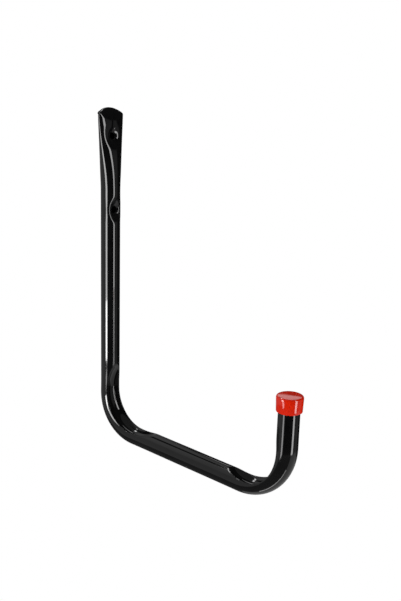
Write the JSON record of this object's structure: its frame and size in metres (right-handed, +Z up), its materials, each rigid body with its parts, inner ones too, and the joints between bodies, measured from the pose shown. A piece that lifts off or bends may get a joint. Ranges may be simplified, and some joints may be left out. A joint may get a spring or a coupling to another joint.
{
  "type": "garage utility hook",
  "caption": "Bent steel tube wall hook for hanging garage gear, with a pinched top end, dimpled screw holes, grooved bends and a push-on cap on its upturned tip.",
  "frame": {"origin": "on the wall plane, on the line where the leg touches it, half way between the two screws", "axes": "+Z up the leg, +Y into the wall, the arm runs out along -Y, X across the hook"},
  "size_m": [0.031, 0.2482, 0.333],
  "materials": {
    "black_paint": "high gloss",
    "red_vinyl": "gloss"
  },
  "bodies": {
    "root": {"hook_tube": "black_paint", "end_cap": "red_vinyl"}
  },
  "joints": []
}
